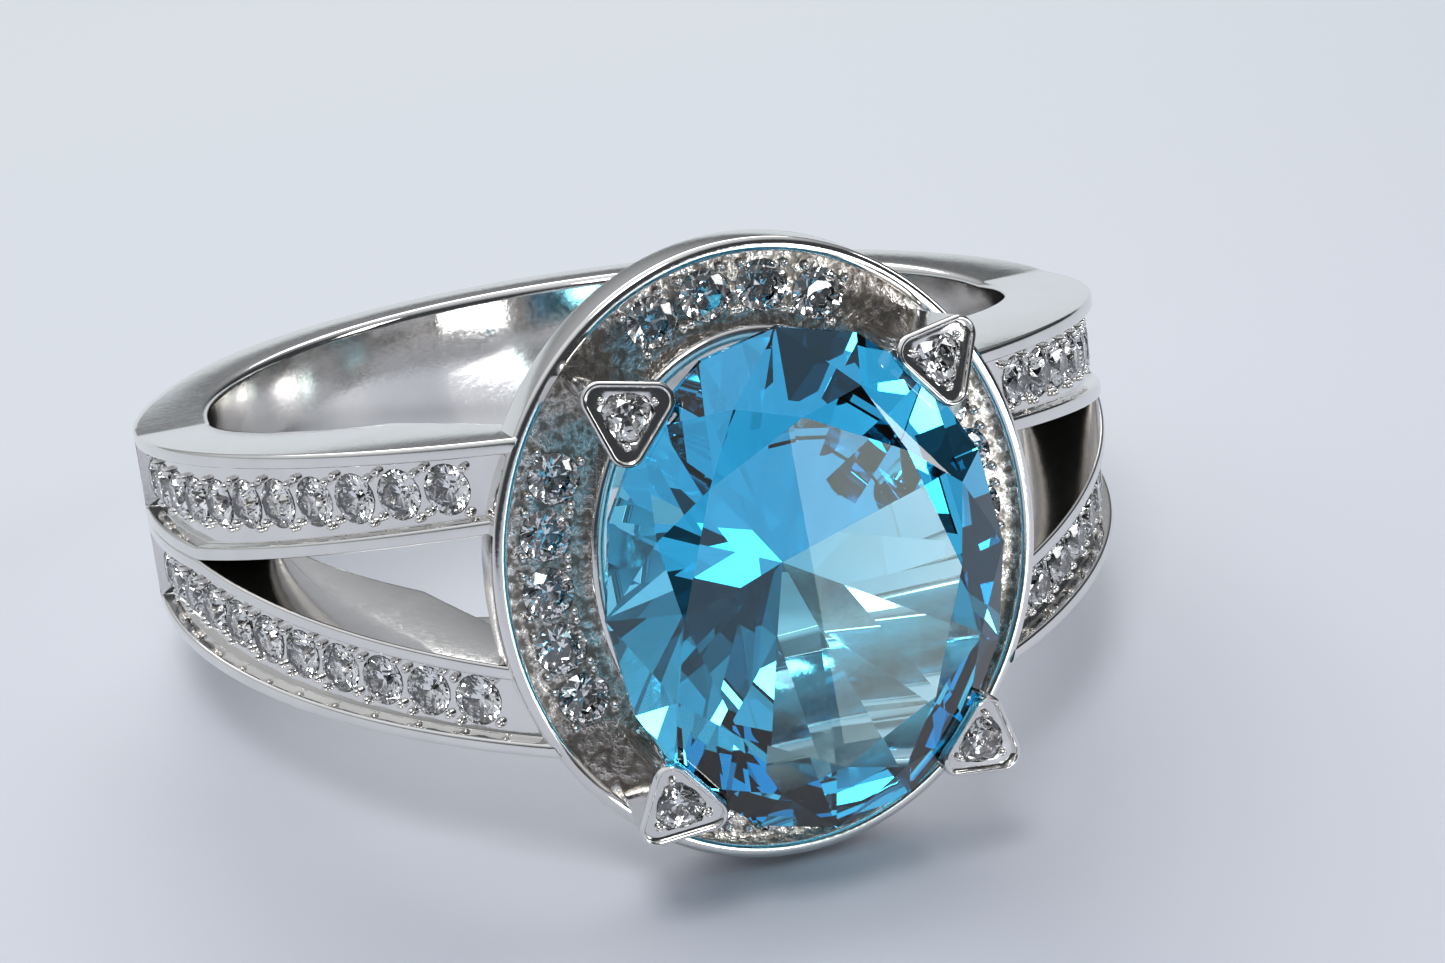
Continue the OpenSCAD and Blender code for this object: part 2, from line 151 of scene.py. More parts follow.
def rounded(corners, radii, steps=4):
    """A closed outline with each corner rounded over its radius."""
    out = []
    count = len(corners)
    pts = [np.array(c, float) for c in corners]
    for i in range(count):
        here, before, after = pts[i], pts[i - 1], pts[(i + 1) % count]
        back, on = before - here, after - here
        cut = min(radii[i], 0.48 * np.linalg.norm(back), 0.48 * np.linalg.norm(on))
        if cut <= 0:
            out += [here] * (steps + 1)
            continue
        a, b = here + unit(back) * cut, here + unit(on) * cut
        for k in range(steps + 1):
            t = k / steps
            out.append((1 - t) ** 2 * a + 2 * t * (1 - t) * here + t * t * b)
    return np.array(out)


def loft(rings, closed=False):
    """Points and faces of a tube through rings of equally many points."""
    rings = np.array(rings, float)
    n, k = rings.shape[:2]
    faces = []
    for i in range(n if closed else n - 1):
        a, b = i * k, (i + 1) % n * k
        faces += [(a + j, a + (j + 1) % k, b + (j + 1) % k, b + j) for j in range(k)]
    if not closed:
        faces.append(tuple(range(k - 1, -1, -1)))
        faces.append(tuple((n - 1) * k + j for j in range(k)))
    return rings.reshape(-1, 3), faces


def join(shapes):
    """Several (points, faces) as one."""
    points, faces, start = [], [], 0
    for p, f in shapes:
        points.append(np.array(p, float))
        faces += [tuple(start + i for i in face) for face in f]
        start += len(p)
    return np.vstack(points), faces


def moved(shape, matrix):
    points = [matrix @ Vector(p) for p in shape[0]]
    return np.array(points), shape[1]


def mirrored(shape, side, end):
    """The upper right quarter's shape in the quarter with these signs."""
    points = np.array(shape[0], float) * (side, end, 1)
    faces = shape[1] if side * end > 0 else [tuple(reversed(f)) for f in shape[1]]
    return points, faces


def build_mesh(name, shape, edge_angle=None):
    """A mesh in frame metres. Edges sharper than edge_angle stay crisp; None keeps every face flat."""
    mesh = bpy.data.meshes.new(name)
    world = [RING @ Vector(p) for p in shape[0]]
    mesh.from_pydata(world, [], shape[1])
    shade(mesh, edge_angle)
    return mesh


def shade(mesh, edge_angle):
    bm = bmesh.new()
    bm.from_mesh(mesh)
    bmesh.ops.remove_doubles(bm, verts=bm.verts, dist=1e-7)
    bmesh.ops.recalc_face_normals(bm, faces=bm.faces)
    for face in bm.faces:
        face.smooth = edge_angle is not None
    if edge_angle is not None:
        for edge in bm.edges:
            edge.smooth = edge.calc_face_angle(0) < math.radians(edge_angle)
    bm.to_mesh(mesh)
    bm.free()


def piece(name, shape, material, node, edge_angle=None):
    """A visible piece that rides with the ring and stands for a CAD node."""
    obj = bpy.data.objects.new(name, build_mesh(name, shape, edge_angle))
    bpy.context.scene.collection.objects.link(obj)
    obj.data.materials.append(material)
    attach(obj, "root")
    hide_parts(node)
    return obj


def cut(shape, tools, keep_angle=None):
    """The shape without the tools, as (points, faces) in ring millimetres."""
    objects = []
    for label, part in (("cut_body", shape), ("cut_tools", join(tools))):
        mesh = bpy.data.meshes.new(label)
        mesh.from_pydata([tuple(p) for p in part[0]], [], part[1])
        shade(mesh, keep_angle)
        obj = bpy.data.objects.new(label, mesh)
        bpy.context.scene.collection.objects.link(obj)
        objects.append(obj)
    body, tool = objects
    boolean = body.modifiers.new("cut", "BOOLEAN")
    boolean.operation = "DIFFERENCE"
    boolean.solver = "EXACT"
    boolean.use_self = True
    boolean.object = tool
    bpy.context.view_layer.update()
    result = body.evaluated_get(bpy.context.evaluated_depsgraph_get()).to_mesh()
    points = np.array([v.co for v in result.vertices])
    faces = [tuple(p.vertices) for p in result.polygons]
    for obj in objects:
        bpy.data.objects.remove(obj)
    return points, faces


# ---------- Shapes ----------


def turned(profile, steps):
    """A solid turned about z from a profile of (radius, height) points that starts and ends on the axis."""
    rings = []
    for i in range(steps):
        c, s = math.cos(2 * math.pi * i / steps), math.sin(2 * math.pi * i / steps)
        rings.append([(r * c, r * s, z) for r, z in profile[1:-1]])
    inner = len(profile) - 2
    points = [p for ring in rings for p in ring]
    foot, top = len(points), len(points) + 1
    points += [(0, 0, profile[0][1]), (0, 0, profile[-1][1])]
    faces = []
    for i in range(steps):
        a, b = i * inner, (i + 1) % steps * inner
        faces += [(a + j, b + j, b + j + 1, a + j + 1) for j in range(inner - 1)]
        faces.append((foot, b, a))
        faces.append((top, a + inner - 1, b + inner - 1))
    return np.array(points, float), faces


def brilliant(rx, ry, table, crown, girdle, pavilion, mid=0.82, low=0.28):
    """A brilliant cut stone with 8 main facets, its girdle at height 0."""
    def level(share, z, count, first):
        turns = [math.radians(first + 360 * i / count) for i in range(count)]
        return [(share * rx * math.cos(t), share * ry * math.sin(t), z) for t in turns]

    half = math.cos(math.radians(22.5))
    points = level(table, girdle / 2 + crown, 8, 0)
    points += level(mid, girdle / 2 + crown * (1 - mid * half) / (1 - table), 8, 22.5)
    points += level(1, girdle / 2, 16, 0)
    points += level(1, -girdle / 2, 16, 0)
    points += level(low, -girdle / 2 - pavilion * (1 - low * half), 8, 22.5)
    points.append((0, 0, -girdle / 2 - pavilion))
    faces = [tuple(range(8))]
    for i in range(8):
        star, star_before = 8 + i, 8 + (i + 7) % 8
        top, top_on, top_next = 16 + 2 * i, 17 + 2 * i, 16 + (2 * i + 2) % 16
        deep, deep_before = 48 + i, 48 + (i + 7) % 8
        faces += [(i, star, (i + 1) % 8), (star_before, top, star, i)]
        faces += [(star, top, top_on), (star, top_on, top_next)]
        faces += [(top, 16 + top, 17 + top, top_on), (top_on, 17 + top, 16 + top_next, top_next)]
        faces += [(deep, 17 + top, 16 + top), (deep, 16 + top_next, 17 + top)]
        faces.append((56, deep, 16 + top, deep_before))
    return np.array(points), faces


def small_brilliant(d):
    return brilliant(d / 2, d / 2, 0.56, 0.15 * d, 0.03 * d, 0.41 * d, mid=0.76)


def seat_tool(d, depth):
    """What a small stone's seat and the hole under it take away."""
    r, hole = d / 2 + SEAT_GAP, AZURE_D / 2
    cone_foot = -PAVILION_SHARE * d * (1 - hole / r)
    top = 0.2 * d
    profile = [(0, -depth), (hole, -depth), (hole, cone_foot), (r, 0), (r, top), (0, top)]
    return turned(profile, 24)


def grain(radius, height):
    """A small round grain of metal."""
    rim = [(0, -height)]
    rim += [(radius * math.cos(a), height * math.sin(a)) for a in np.radians((-40, 0, 30, 60))]
    rim.append((0, height))
    return turned(rim, 12)


def oval_point(rx, ry, t, z=0.0):
    return np.array([rx * math.cos(t), ry * math.sin(t), z])


def oval_sweep(rx, ry, outline, steps=160):
    """An outline of (inset, height) points carried round an oval."""
    rings = []
    for i in range(steps):
        t = 2 * math.pi * i / steps
        out = unit(np.array([math.cos(t) / rx, math.sin(t) / ry, 0]))
        edge = oval_point(rx, ry, t)
        rings.append([edge - out * inset + (0, 0, z) for inset, z in outline])
    return loft(rings, closed=True)


def oval_prism(rx, ry, low, high, steps=160):
    turns = [2 * math.pi * i / steps for i in range(steps)]
    return loft([[oval_point(rx, ry, t, z) for t in turns] for z in (low, high)])


# ---------- Band and arms ----------


def band_shape():
    tail = math.degrees(math.asin(ARM_TAIL / BAND_R))
    rings = []
    steps = 96
    for i in range(steps + 1):
        share = i / steps
        angle = 90 + tail + share * (180 - 2 * tail)
        ease = min(1, min(share, 1 - share) * 9)
        outer, inner = 0.1 + 0.3 * ease, 0.16 + 0.06 * ease
        corners = [
            (FINGER_R, -BAND_HALF), (BAND_R, -BAND_HALF), (BAND_R, BAND_HALF), (FINGER_R, BAND_HALF)
        ]
        outline = rounded(corners, (inner, outer, outer, inner), 5)
        x, z = turn(angle)
        rings.append([(r * x, y, r * z) for r, y in outline])
    return loft(rings)


def arm_point(angle):
    s = math.sin(math.radians(angle))
    reach = ARC_X * s + math.sqrt(ARC_X ** 2 * s * s + ARC_R ** 2 - ARC_X ** 2)
    return reach * turn(angle)


def edge_plane(a1, y1, a2, y2):
    """The plane y = p0 + p1 x + p2 z on which y goes evenly from y1 at angle a1 to y2 at a2."""
    near = arm_point(a1)
    mid, end = arm_point((a1 + a2) / 2) - near, arm_point(a2) - near
    px, pz = np.linalg.solve(np.array([mid, end]), np.array([0.5, 1.0]) * (y2 - y1))
    return y1 - px * near[0] - pz * near[1], px, pz


HEAD_ANGLE = math.degrees(math.atan2(*ARM_HEAD))
OUTER_EDGE = edge_plane(90, BAND_HALF, HEAD_ANGLE, ARM_SPREAD)
INNER_EDGE = edge_plane(SPLIT_ANGLE, 0, HEAD_ANGLE, ARM_SPREAD - ARM_W)


def arc_point(angle, height=0.0):
    """Point [x, z] over the arms' outer arc, at an angle round the arc's centre."""
    return np.array([ARC_X, 0]) + (ARC_R + height) * turn(angle)


def arm_edges(angle):
    x, z = arc_point(angle)
    inner, outer = (p[0] + p[1] * x + p[2] * z for p in (INNER_EDGE, OUTER_EDGE))
    return max(0, inner), max(BAND_HALF, outer)


END_NORMAL = unit(ARM_HEAD - (ARC_X, 0))
LIFT_FROM = FINGER_R * turn(LIFT_ANGLE)
LIFT_TO = ARM_HEAD - ARM_END_T * END_NORMAL


def arm_thickness(angle):
    """Depth of an arm below its outer arc, down to the finger or to the lifted face."""
    start, way = arc_point(angle), -turn(angle)
    b = start @ way
    root = b * b - (start @ start - FINGER_R ** 2)
    depths = [-b - math.sqrt(root)] if root > 0 else []
    line = LIFT_TO - LIFT_FROM
    normal = np.array([-line[1], line[0]])
    lifted = ((LIFT_FROM - start) @ normal) / (way @ normal)
    if (start + lifted * way)[1] > LIFT_FROM[1] or not depths:
        depths.append(lifted)
    return min(d for d in depths if d > 0)


STONE_STEP = math.degrees(ARM_PITCH / ARC_R)
LAST_STONE = 90 + math.degrees(math.asin((ARM_TAIL - RAIL_W - MELEE_D / 2) / ARC_R))
ARM_TURNS = [LAST_STONE - i * STONE_STEP for i in range(ARM_STONES)]


def arm_matrix(angle):
    """A frame on an arm's bed, with x along the arm and z out of the bed."""
    x, z = arc_point(angle, -CHANNEL_D)
    place = Matrix.Translation((x, sum(arm_edges(angle)) / 2, z))
    return place @ Matrix.Rotation(math.radians(angle), 4, "Y")


def arm_section(angle, depth):
    """An arm's outline: heights over its outer arc, and places along the finger."""
    inner, outer = arm_edges(angle)
    foot = -arm_thickness(angle)
    rail = RAIL_W
    corners = [
        (inner, foot), (inner, 0), (inner + rail, 0), (inner + rail, -depth),
        (outer - rail, -depth), (outer - rail, 0), (outer, 0), (outer, foot)
    ]
    shut = 0.04 if inner == 0 else 0.12
    outline = rounded(corners, (shut, 0.07, 0.09, 0.03, 0.03, 0.09, 0.1, 0.16), 4)
    points = []
    for y, height in outline:
        x, z = arc_point(angle, height)
        points.append((x, y, z))
    return points


def arm_shape():
    """The upper right arm, before it is turned into its quarter."""
    tail_turn = 90 + math.degrees(math.asin(ARM_TAIL / ARC_R))
    bed_end = LAST_STONE + math.degrees((MELEE_D / 2 + 0.03) / ARC_R)
    rings = [arm_section(a, 0.02) for a in np.linspace(tail_turn, bed_end + 0.25, 4)]
    rings += [arm_section(a, CHANNEL_D) for a in np.linspace(bed_end, 35, 90)]
    places = [arm_matrix(a) for a in ARM_TURNS]
    seats = [moved(seat_tool(MELEE_D, 2.4), place) for place in places]
    overlap = 0.04
    inset = GALLERY_INSET + overlap
    halo = oval_prism(HALO_RX - overlap, HALO_RY - overlap, WALL_FOOT, HEAD_H + 3)
    basket = oval_prism(HALO_RX - inset, HALO_RY - inset, 2, WALL_FOOT + 0.1)
    arm = cut(cut(cut(loft(rings), seats), [halo]), [basket])
    return join([arm] + row_grains(places, ARM_PITCH))


def row_grains(places, pitch):
    """Four grains round each stone of a row, on the bed."""
    shapes = []
    for place in places:
        for sx in (-1, 1):
            for sy in (-1, 1):
                spot = (sx * (pitch / 2 - GRAIN_OFF), sy * (MELEE_D / 2 - GRAIN_TUCK), GRAIN_RISE)
                shapes.append(moved(grain(GRAIN_D / 2, GRAIN_HALF_H), place @ Matrix.Translation(spot)))
    return shapes


def bridge_shape():
    """A bar under the head: the finger circle below, a flat top under the gallery ring."""
    low, high = ARM_SPREAD - ARM_W, ARM_SPREAD - ARM_W + BRIDGE_W
    rings = []
    for i in range(49):
        share = i / 24 - 1
        foot_x = share * LIFT_FROM[0]
        foot_z = math.sqrt(FINGER_R ** 2 - foot_x ** 2)
        slope = (LIFT_TO[0] - LIFT_FROM[0]) / (LIFT_TO[1] - LIFT_FROM[1])
        top_x = share * (LIFT_FROM[0] + slope * (GALLERY_FOOT - LIFT_FROM[1]))
        corners = [
            (foot_x, low, foot_z), (foot_x, high, foot_z),
            (top_x, high, GALLERY_FOOT), (top_x, low, GALLERY_FOOT)
        ]
        ring = []
        for k, here in enumerate(np.array(corners)):
            before, after = np.array(corners[k - 1]), np.array(corners[(k + 1) % 4])
            ring.append(here + unit(before - here) * 0.1)
            ring.append(here + unit(before - here) * 0.03 + unit(after - here) * 0.03)
            ring.append(here + unit(after - here) * 0.1)
        rings.append(ring)
    return loft(rings)


# ---------- Halo and basket ----------


def rim_shape():
    corners = [(0, WALL_FOOT), (0, HEAD_H), (RAIL_W, HEAD_H), (RAIL_W, WALL_FOOT)]
    return oval_sweep(HALO_RX, HALO_RY, rounded(corners, (0.08, 0.13, 0.13, 0.02), 5))


def collar_shape():
    top = TRAY_TOP + COLLAR_LIP
    corners = [(0, WALL_FOOT), (0, top), (COLLAR_T, top), (COLLAR_T, WALL_FOOT)]
    return oval_sweep(COLLAR_RX, COLLAR_RY, rounded(corners, (0.02, 0.15, 0.15, 0.1), 6))


def gallery_shape():
    neck = GALLERY_T / 3
    corners = [
        (0, GALLERY_FOOT), (0, GALLERY_TOP), (neck, GALLERY_TOP), (neck, WALL_FOOT),
        (GALLERY_T, WALL_FOOT), (GALLERY_T, GALLERY_FOOT)
    ]
    outline = rounded(corners, (0.14, 0.14, 0.05, 0.02, 0.02, 0.14), 4)
    return oval_sweep(HALO_RX - GALLERY_INSET, HALO_RY - GALLERY_INSET, outline)


ROW_RX = (HALO_RX - RAIL_W + COLLAR_RX) / 2
ROW_RY = (HALO_RY - RAIL_W + COLLAR_RY) / 2
SIDE_TURNS = [i * HALO_PITCH / ROW_RY for i in range(-2, 3)]
END_TURNS = [math.pi / 2 + i * HALO_PITCH / ROW_RX for i in (-1.5, -0.5, 0.5, 1.5)]


def row_matrix(t):
    """A frame on the halo's tray, with x along the row of stones and y outwards."""
    face = math.atan2(ROW_RX * math.sin(t), ROW_RY * math.cos(t)) - math.pi / 2
    place = Matrix.Translation(oval_point(ROW_RX, ROW_RY, t, TRAY_TOP))
    return place @ Matrix.Rotation(face, 4, "Z")


def tray_shape():
    steps = 160
    rings = []
    lap = 0.02
    inner = (COLLAR_RX - lap, COLLAR_RY - lap)
    outer = (HALO_RX - RAIL_W + lap, HALO_RY - RAIL_W + lap)
    for i in range(steps):
        t = 2 * math.pi * i / steps
        ring = [oval_point(*outer, t, WALL_FOOT), oval_point(*inner, t, WALL_FOOT)]
        for share in np.linspace(0, 1, 6):
            rx, ry = (a + (b - a) * share for a, b in zip(inner, outer))
            ring.append(oval_point(rx, ry, t, TRAY_TOP))
        rings.append(ring)
    seats = [moved(seat_tool(MELEE_D, 2), place) for place in halo_places()]
    return cut(loft(rings, closed=True), seats)


def halo_places():
    turns = SIDE_TURNS + END_TURNS + [t + math.pi for t in SIDE_TURNS + END_TURNS]
    return [row_matrix(t) for t in turns]


# ---------- Prongs ----------

PRONG_SIN, PRONG_COS = turn(PRONG_ANGLE)
GIRDLE_POINT = np.array([STONE_W / 2 * PRONG_COS, STONE_L / 2 * PRONG_SIN, 0])
OUT_ANGLE = math.atan2(PRONG_SIN / STONE_L, PRONG_COS / STONE_W)
OUTWARD = np.array([math.cos(OUT_ANGLE), math.sin(OUT_ANGLE), 0])
PRONG_Z = GIRDLE_Z + PRONG_RISE


def prong_matrix():
    """The upper right prong's face: y outwards, z out of the face."""
    place = Matrix.Translation(GIRDLE_POINT + PRONG_OUT * OUTWARD + (0, 0, PRONG_Z))
    spin = Matrix.Rotation(OUT_ANGLE - math.pi / 2, 4, "Z")
    return place @ spin @ Matrix.Rotation(-math.radians(PRONG_TILT), 4, "X")


def prong_outline(share, inset=0.0):
    """A rounded triangle, one corner out: three arcs, drawn in by inset."""
    points = []
    for corner in (90, 210, 330):
        middle = share * CORNER_OUT * turn(90 - corner)
        for k in range(17):
            around = 90 - (corner - 60 + 7.5 * k)
            points.append(middle + (share * CORNER_R - inset) * turn(around))
    return np.array(points)


def prong_ring(matrix, outline, height, round_r=0.0, blend=0.0):
    """One ring of a prong: an outline, mixed towards a circle."""
    ring = []
    for point in outline:
        spot = point * (1 - blend) + unit(point) * round_r * blend
        ring.append(matrix @ Vector((*spot, height)))
    return ring


def prong_shape():
    """A block that widens from its foot on the tray to a face with a recess for its stone."""
    face = prong_matrix()
    foot = Matrix.Translation(GIRDLE_POINT + (PRONG_OUT - FOOT_IN) * OUTWARD + (0, 0, TRAY_TOP))
    foot = foot @ Matrix.Rotation(OUT_ANGLE - math.pi / 2, 4, "Z")
    low = np.array(prong_ring(foot, prong_outline(FOOT_SHARE), 0))
    high = np.array(prong_ring(face, prong_outline(1), -PRONG_EDGE_T))
    rings = [low - (0, 0, 0.03)]
    rings += [low + (high - low) * share for share in (0, 0.3, 0.6, 0.9)]
    edge = ((0, -0.24), (0, -0.1), (0.012, -0.04), (0.04, -0.005), (0.07, 0), (0.09, -0.01))
    rings += [prong_ring(face, prong_outline(1, inset), height) for inset, height in edge]
    rings += [prong_ring(face, prong_outline(1, PRONG_RIM + 0.01), z) for z in (-0.04, -RECESS_D)]
    seat_r = PRONG_STONE_D / 2
    well = (
        (seat_r + 0.03, -RECESS_D, 0.97), (seat_r + 0.005, -RECESS_D - 0.02, 1),
        (seat_r, -PRONG_SINK - 0.02, 1)
    )
    rings += [prong_ring(face, prong_outline(1), z, r, mix) for r, z, mix in well]
    rings.append(prong_ring(face, prong_outline(1), -PRONG_SINK - 0.4, 0.06, 1))
    body = cut(loft(rings), [centre_stone_shape(1.004)])
    return join([body] + prong_grains(face))


def prong_grains(face):
    """A grain in each corner of the recess."""
    spots = [0.95 * CORNER_OUT * turn(90 - corner) for corner in (90, 210, 330)]
    return [moved(grain(0.09, 0.12), face @ Matrix.Translation((*spot, -RECESS_D))) for spot in spots]


def centre_stone_shape(size=1.0):
    half_w, half_l = size * STONE_W / 2, size * STONE_L / 2
    shape = brilliant(half_w, half_l, TABLE_SHARE, CROWN_H * size, GIRDLE_T, PAVILION_H * size)
    return moved(shape, Matrix.Translation((0, 0, GIRDLE_Z)))


# ---------- Materials ----------


def new_material(name):
    mat = bpy.data.materials.new(name)
    mat.use_nodes = True
    nodes = mat.node_tree.nodes
    return mat, nodes, mat.node_tree.links, nodes["Principled BSDF"]


def noise(nodes, links, scale, detail=3.0, roughness=0.5):
    """Noise over the object's own space, at scale per metre."""
    where = nodes.new("ShaderNodeTexCoord")
    tex = nodes.new("ShaderNodeTexNoise")
    tex.inputs["Scale"].default_value = scale
    tex.inputs["Detail"].default_value = detail
    tex.inputs["Roughness"].default_value = roughness
    links.new(where.outputs["Object"], tex.inputs["Vector"])
    return tex.outputs["Fac"]


def spread(nodes, links, source, low, high, out_low, out_high):
    step = nodes.new("ShaderNodeMapRange")
    step.inputs["From Min"].default_value = low
    step.inputs["From Max"].default_value = high
    step.inputs["To Min"].default_value = out_low
    step.inputs["To Max"].default_value = out_high
    links.new(source, step.inputs["Value"])
    return step.outputs["Result"]


def two_tone(nodes, links, source, low, high, first, second):
    ramp = nodes.new("ShaderNodeValToRGB")
    ramp.color_ramp.elements[0].position = low
    ramp.color_ramp.elements[1].position = high
    ramp.color_ramp.elements[0].color = (*first, 1)
    ramp.color_ramp.elements[1].color = (*second, 1)
    links.new(source, ramp.inputs["Fac"])
    return ramp.outputs["Color"]


def bump(nodes, links, source, strength, depth_mm, under=None):
    node = nodes.new("ShaderNodeBump")
    node.inputs["Strength"].default_value = strength
    node.inputs["Distance"].default_value = depth_mm * MM
    links.new(source, node.inputs["Height"])
    if under is not None:
        links.new(under, node.inputs["Normal"])
    return node.outputs["Normal"]


def metal(name, light, dark, rough, wave, pits, pit_scale):
    """Cast white metal: a slow waviness, fine pits, and a tone that varies a little."""
    mat, nodes, links, shader = new_material(name)
    shader.inputs["Metallic"].default_value = 1
    slow = noise(nodes, links, 900, 2)
    fine = noise(nodes, links, pit_scale, 4, 0.6)
    links.new(two_tone(nodes, links, slow, 0.35, 0.65, dark, light), shader.inputs["Base Color"])
    links.new(spread(nodes, links, fine, 0.3, 0.7, *rough), shader.inputs["Roughness"])
    waves = bump(nodes, links, slow, 0.4, wave)
    links.new(bump(nodes, links, fine, 0.35, pits, waves), shader.inputs["Normal"])
    return mat


def grainy_metal(name, light, dark, rough, pits, pit_scale):
    """The beds between the stones: metal left rough by the cutter, with painted shade that darkens the low
    spots of its grit.
    """
    mat, nodes, links, shader = new_material(name)
    shader.inputs["Metallic"].default_value = 1
    grit_and_shade = noise(nodes, links, pit_scale, 3, 0.6)
    # The dark end of this ramp is painted shade in the grit's low spots, standing in for shadow and dark
    # reflection on the tray.
    links.new(two_tone(nodes, links, grit_and_shade, 0.42, 0.56, dark, light), shader.inputs["Base Color"])
    links.new(spread(nodes, links, grit_and_shade, 0.35, 0.65, rough[1], rough[0]), shader.inputs["Roughness"])
    links.new(bump(nodes, links, grit_and_shade, 0.8, pits), shader.inputs["Normal"])
    return mat


def clear_stone(name, tint, ior, rough):
    mat, nodes, links, shader = new_material(name)
    shader.inputs["Base Color"].default_value = (*tint, 1)
    shader.inputs["Transmission Weight"].default_value = 1
    shader.inputs["IOR"].default_value = ior
    haze = noise(nodes, links, 2500, 2)
    links.new(spread(nodes, links, haze, 0.4, 0.7, 0.0, rough), shader.inputs["Roughness"])
    return mat, nodes, links


def blue_stone():
    mat, nodes, links = clear_stone("stone_blue", (0.97, 0.99, 1), 1.66, 0.004)
    body = nodes.new("ShaderNodeVolumeAbsorption")
    body.inputs["Color"].default_value = (0.0, 0.83, 1, 1)
    body.inputs["Density"].default_value = 280
    links.new(body.outputs["Volume"], nodes["Material Output"].inputs["Volume"])
    return mat


# ---------- The ring's pieces ----------

QUARTERS = {
    "upper_right": (1, 1), "lower_right": (1, -1), "upper_left": (-1, 1), "lower_left": (-1, -1)
}


def add_metal(polished, bed):
    piece("band", band_shape(), polished, "shank_band", 35)
    arm, prong, bridge = arm_shape(), prong_shape(), bridge_shape()
    for name, (side, end) in QUARTERS.items():
        shape = mirrored(arm, side, end)
        piece(f"pave_arm_{name}", shape, polished, f"arm_{name}", 35)
        shape = mirrored(prong, side, end)
        piece(f"claw_{name}", shape, polished, f"prong_{name}", 40)
    for name, end in (("upper", 1), ("lower", -1)):
        shape = mirrored(bridge, 1, end)
        piece(f"under_bridge_{name}", shape, polished, f"bridge_{name}", 30)
    piece("rim", rim_shape(), polished, "halo_rim", 35)
    piece("collar", collar_shape(), polished, "halo_collar", 35)
    piece("gallery", gallery_shape(), polished, "gallery_ring", 35)
    piece("tray", tray_shape(), bed, "halo_tray", 35)
    grains = join(row_grains(halo_places(), HALO_PITCH))
    piece("tray_grains", grains, polished, "halo_tray", 35)


def stone_row(matrices, d, chance):
    """One faceted stone on each place, each turned its own way."""
    lift = Matrix.Translation((0, 0, 0.01))
    stone = small_brilliant(d)
    stones = []
    for place in matrices:
        spin = Matrix.Rotation(chance.uniform(0, math.pi / 4), 4, "Z")
        stones.append(moved(stone, place @ lift @ spin))
    return join(stones)


def add_stones(white, blue):
    chance = random.Random(7)
    for name, (side, end) in QUARTERS.items():
        row = stone_row([arm_matrix(a) for a in ARM_TURNS], MELEE_D, chance)
        row = mirrored(row, side, end)
        piece(f"arm_melee_{name}", row, white, f"arm_stones_{name}")
        sunk = prong_matrix() @ Matrix.Translation((0, 0, -PRONG_SINK))
        one = mirrored(stone_row([sunk], PRONG_STONE_D, chance), side, end)
        piece(f"claw_stone_{name}", one, white, f"prong_stone_{name}")
    for name, side in (("right", 1), ("left", -1)):
        row = stone_row([row_matrix(t) for t in SIDE_TURNS], MELEE_D, chance)
        row = mirrored(row, side, 1)
        piece(f"halo_melee_{name}", row, white, f"halo_stones_{name}")
    for name, end in (("upper", 1), ("lower", -1)):
        row = stone_row([row_matrix(t) for t in END_TURNS], MELEE_D, chance)
        row = mirrored(row, 1, end)
        piece(f"halo_melee_{name}", row, white, f"halo_stones_{name}")
    piece("blue_oval", centre_stone_shape(), blue, "centre_stone")


# ---------- Stage, light and camera ----------


def add_camera():
    """The photograph's viewpoint: a close view from the front left, a little above."""
    azimuth, elevation, roll = (math.radians(a) for a in (15.88, 25.3, 4.1))
    place = RING @ Vector((0, 0, HEAD_H)) + Vector((-17.52, -58.48, 30.5)) * MM
    flat = Vector((math.sin(azimuth), math.cos(azimuth), 0))
    ahead = flat * math.cos(elevation) - Vector((0, 0, math.sin(elevation)))
    level = ahead.cross(Vector((0, 0, 1))).normalized()
    upright = level.cross(ahead)
    up = upright * math.cos(roll) + level * math.sin(roll)
    right = ahead.cross(up)
    camera = bpy.data.objects.new("camera", bpy.data.cameras.new("camera"))
    camera.data.lens = 86.25
    camera.data.sensor_width = 36
    camera.data.clip_start = 0.001
    facing = Matrix((right, up, -ahead)).transposed().to_4x4()
    camera.matrix_world = Matrix.Translation(place) @ facing
    bpy.context.scene.collection.objects.link(camera)
    bpy.context.scene.camera = camera


FLOOR_NEAR, FLOOR_FAR = (0.68, 0.7, 0.78), (0.63, 0.675, 0.69)
FLOOR_HALF = 1.5


def add_floor():
    """A sheet of pale paper, a little bluer in front."""
    mesh = bpy.data.meshes.new("floor")
    corners = [(x * FLOOR_HALF, y * FLOOR_HALF, 0) for x, y in ((-1, -1), (1, -1), (1, 1), (-1, 1))]
    mesh.from_pydata(corners, [], [(0, 1, 2, 3)])
    floor = bpy.data.objects.new("floor", mesh)
    bpy.context.scene.collection.objects.link(floor)
    mat, nodes, links, shader = new_material("floor_paper")
    where = nodes.new("ShaderNodeTexCoord")
    parts = nodes.new("ShaderNodeSeparateXYZ")
    links.new(where.outputs["Object"], parts.inputs["Vector"])
    depth = spread(nodes, links, parts.outputs["Y"], -0.02, 0.08, 0, 1)
    tone = two_tone(nodes, links, depth, 0, 1, FLOOR_NEAR, FLOOR_FAR)
    links.new(tone, shader.inputs["Base Color"])
    shader.inputs["Roughness"].default_value = 0.55
    mesh.materials.append(mat)


HEAD_SPOT = (0, 0, 0.005)


def add_area(name, place, aim, size, watts, tone=(1, 1, 1)):
    light = bpy.data.lights.new(name, "AREA")
    light.shape = "RECTANGLE"
    light.size, light.size_y = size
    light.energy = watts
    light.color = tone
    lamp = bpy.data.objects.new(name, light)
    lamp.location = place
    lamp.rotation_euler = (Vector(aim) - Vector(place)).to_track_quat("-Z", "Y").to_euler()
    bpy.context.scene.collection.objects.link(lamp)
    return lamp


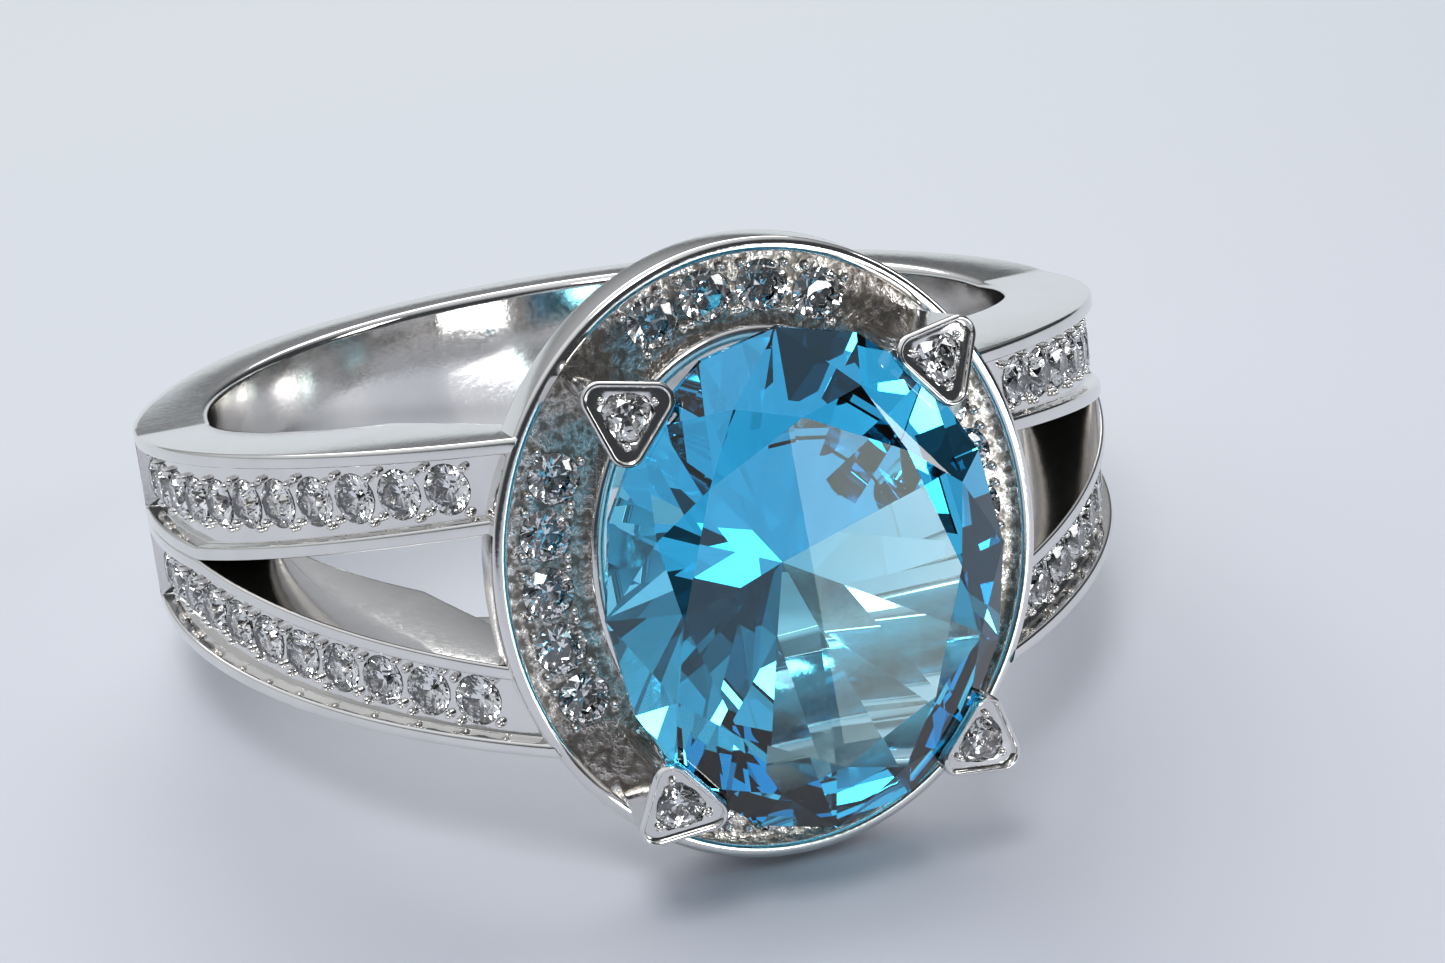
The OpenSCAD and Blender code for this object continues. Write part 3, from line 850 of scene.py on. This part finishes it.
def add_lights():
    """Four soft lamps, and a small card low in front that only shows in polished faces."""
    add_area("key", (-0.06, -0.13, 0.24), HEAD_SPOT, (0.08, 0.08), 0.2)
    add_area("fill", (0.20, -0.06, 0.12), HEAD_SPOT, (0.05, 0.10), 0.1)
    add_area("back", (0.02, 0.22, 0.14), HEAD_SPOT, (0.22, 0.08), 0.2)
    add_area("front", (0.12, -0.24, 0.0), HEAD_SPOT, (0.10, 0.07), 0.17)
    card_at, table = (0.011, -0.0395, 0.0052), (0.003, -0.0105, 0.0066)
    card = add_area("card", card_at, table, (0.007, 0.01), 0.0005, (0.8, 1, 0.98))
    card.visible_camera = False
    card.visible_diffuse = False


def add_world():
    """A studio dome: pale above and behind, darker in front and towards the horizon."""
    world = bpy.data.worlds.new("studio")
    bpy.context.scene.world = world
    world.use_nodes = True
    nodes, links = world.node_tree.nodes, world.node_tree.links
    background = nodes["Background"]
    where = nodes.new("ShaderNodeTexCoord")
    tilted = nodes.new("ShaderNodeVectorMath")
    tilted.operation = "DOT_PRODUCT"
    tilted.inputs[1].default_value = (-0.3, 0.35, 0.85)
    links.new(where.outputs["Generated"], tilted.inputs[0])
    dark, pale = (0.05, 0.055, 0.062), (0.93, 0.965, 1.0)
    dome = two_tone(nodes, links, tilted.outputs["Value"], 0.2, 0.85, dark, pale)
    seen = nodes.new("ShaderNodeLightPath")
    mix = nodes.new("ShaderNodeMix")
    mix.data_type = "RGBA"
    mix.inputs["B"].default_value = (0.53, 0.56, 0.59, 1)
    links.new(seen.outputs["Is Camera Ray"], mix.inputs["Factor"])
    links.new(dome, mix.inputs["A"])
    links.new(mix.outputs["Result"], background.inputs["Color"])
    background.inputs["Strength"].default_value = 0.9


def main():
    bpy.context.scene.view_settings.view_transform = "Standard"
    add_camera()
    silver, shade_of_silver = (0.84, 0.82, 0.8), (0.79, 0.775, 0.755)
    polished = metal("metal_polished", silver, shade_of_silver, (0.05, 0.14), 0.007, 0.004, 9000)
    # The bed's dark tone is painted shade for the low spots of its grit, not the metal's own colour.
    worked, painted_hollow_shade = (0.74, 0.69, 0.64), (0.26, 0.23, 0.2)
    bed = grainy_metal("metal_bed", worked, painted_hollow_shade, (0.18, 0.42), 0.05, 5200)
    white, _, _ = clear_stone("stone_white", (1, 1, 1), 2.1, 0.02)
    blue = blue_stone()
    add_metal(polished, bed)
    add_stones(white, blue)
    add_floor()
    add_lights()
    add_world()
    for name in frame["nodes"]:
        frame["nodes"][name].data.materials.clear()
        frame["nodes"][name].data.materials.append(polished)


main()
